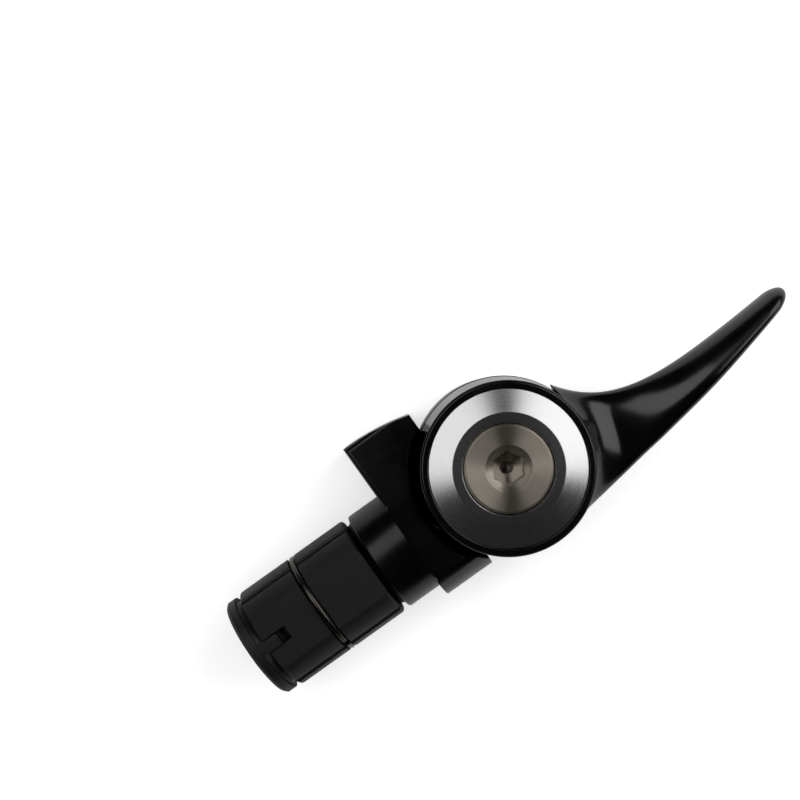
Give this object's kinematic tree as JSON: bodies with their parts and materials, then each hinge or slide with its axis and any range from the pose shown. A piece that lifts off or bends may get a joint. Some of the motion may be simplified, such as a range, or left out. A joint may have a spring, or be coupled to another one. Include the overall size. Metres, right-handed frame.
{
  "type": "bar end shifter",
  "caption": "Bar end shifter with an expander plug, an indexed cable spool and a curved return lever on a countersunk cap bolt.",
  "frame": {"origin": "on the plug's axis, at the shoulder face that meets the handlebar's end", "axes": "+X along the plug towards the lever, +Y towards the cable lug, +Z along the lever's pivot and out through the cap bolt; the drum's flat back faces -Z"},
  "size_m": [0.1064, 0.0329, 0.0272],
  "materials": {
    "housing_gloss": "gloss black paint over cast aluminium",
    "lever_gloss": "gloss black paint over forged aluminium",
    "jaw_anodised": "satin black anodised",
    "ring_turned": "fine turned, clear anodised",
    "bolt_turned": "turned face, warm grey",
    "bolt_black": "black oxide",
    "wire_steel": "drawn spring wire",
    "bronze": "sintered bronze",
    "stamped_steel": "stamped, bare",
    "pin_steel": "ground",
    "spool_grey": "grey anodised",
    "seal_rubber": "matte black",
    "guide_plastic": "natural acetal"
  },
  "bodies": {
    "housing": {"housing": "housing_gloss", "pivot_nut": "stamped_steel", "pivot_sleeve": "pin_steel", "cap_bolt": "bolt_turned", "spool_washer": "bronze", "thrust_washer": "bronze", "index_plate": "stamped_steel", "plate_circlip": "bolt_black", "hold_pawl_pin": "pin_steel", "stop_pin": "pin_steel", "rim_seal": "seal_rubber", "cable_guide": "guide_plastic", "hold_pawl_spring": "wire_steel", "bolt_washer": "stamped_steel"},
    "lever": {"shift_lever": "lever_gloss", "face_ring": "ring_turned", "lever_bushing": "bronze", "cap_washer": "bronze", "drive_plate": "stamped_steel", "plate_screws": "bolt_black", "drive_pawl_pin": "pin_steel", "drive_pawl_spring": "wire_steel", "spring_post": "pin_steel", "lever_spring": "wire_steel"},
    "spool": {"cable_spool": "spool_grey", "spool_dowels": "pin_steel", "hold_ratchet": "stamped_steel", "drive_ratchet": "stamped_steel", "spool_spring": "wire_steel"},
    "drive_pawl": {"drive_pawl": "stamped_steel"},
    "hold_pawl": {"hold_pawl": "stamped_steel"},
    "expander_bolt": {"expander_bolt": "bolt_black"},
    "wedge_nut": {"wedge_nut": "jaw_anodised"},
    "jaw_1": {"jaw_1": "jaw_anodised"},
    "jaw_2": {"jaw_2": "jaw_anodised"},
    "jaw_3": {"jaw_3": "jaw_anodised"},
    "jaw_ring": {"jaw_ring": "wire_steel"}
  },
  "joints": [
    {"name": "lever_swing", "type": "hinge", "parent": "housing", "child": "lever", "pos_m": [0.0202, 0.00125, 0], "axis": [0, 0, 1], "range_deg": [-43.2, 14.4], "stiffness_Nm_per_rad": 0.3, "deforming": ["lever_spring", "drive_pawl_spring"]},
    {"name": "spool_turn", "type": "hinge", "parent": "housing", "child": "spool", "pos_m": [0.0202, 0.00125, 0], "axis": [0, 0, 1], "range_deg": [-144, 0], "stiffness_Nm_per_rad": 0.01, "springref_deg": 34.38, "deforming": ["spool_spring"]},
    {"name": "drive_pawl_tilt", "type": "hinge", "parent": "lever", "child": "drive_pawl", "pos_m": [0.01637, 0.01177, 0], "axis": [0, 0, 1], "range_deg": [-9, 0], "stiffness_Nm_per_rad": 0.0005, "deforming": ["drive_pawl_spring"]},
    {"name": "hold_pawl_tilt", "type": "hinge", "parent": "housing", "child": "hold_pawl", "pos_m": [0.01711, -0.00952, 0], "axis": [0, 0, 1], "range_deg": [-9, 0], "stiffness_Nm_per_rad": 0.0005, "deforming": ["hold_pawl_spring"]},
    {"name": "expander_turn", "type": "hinge", "parent": "housing", "child": "expander_bolt", "pos_m": [0, 0, 0], "axis": [-1, 0, 0], "range_deg": [0, 504]},
    {"name": "wedge_draw", "type": "slide", "parent": "housing", "child": "wedge_nut", "axis": [1, 0, 0], "range_m": [0, 0.0014]},
    {"name": "jaw_1_spread", "type": "slide", "parent": "housing", "child": "jaw_1", "axis": [0.866, 0, 0.5], "range_m": [0, 0.000812]},
    {"name": "jaw_2_spread", "type": "slide", "parent": "housing", "child": "jaw_2", "axis": [0.866, -0.433, -0.25], "range_m": [0, 0.000812]},
    {"name": "jaw_3_spread", "type": "slide", "parent": "housing", "child": "jaw_3", "axis": [0.866, 0.433, -0.25], "range_m": [0, 0.000812]},
    {"name": "ring_shift", "type": "slide", "parent": "housing", "child": "jaw_ring", "axis": [1, 0, 0], "range_m": [0, 0.000705]}
  ],
  "couplings": [
    {"joint": "expander_turn", "follows": "wedge_draw", "rad_per_m": 6283.2},
    {"joint": "jaw_1_spread", "follows": "wedge_draw", "ratio": 0.57735},
    {"joint": "jaw_2_spread", "follows": "wedge_draw", "ratio": 0.57735},
    {"joint": "jaw_3_spread", "follows": "wedge_draw", "ratio": 0.57735},
    {"joint": "ring_shift", "follows": "wedge_draw", "ratio": 0.5}
  ]
}
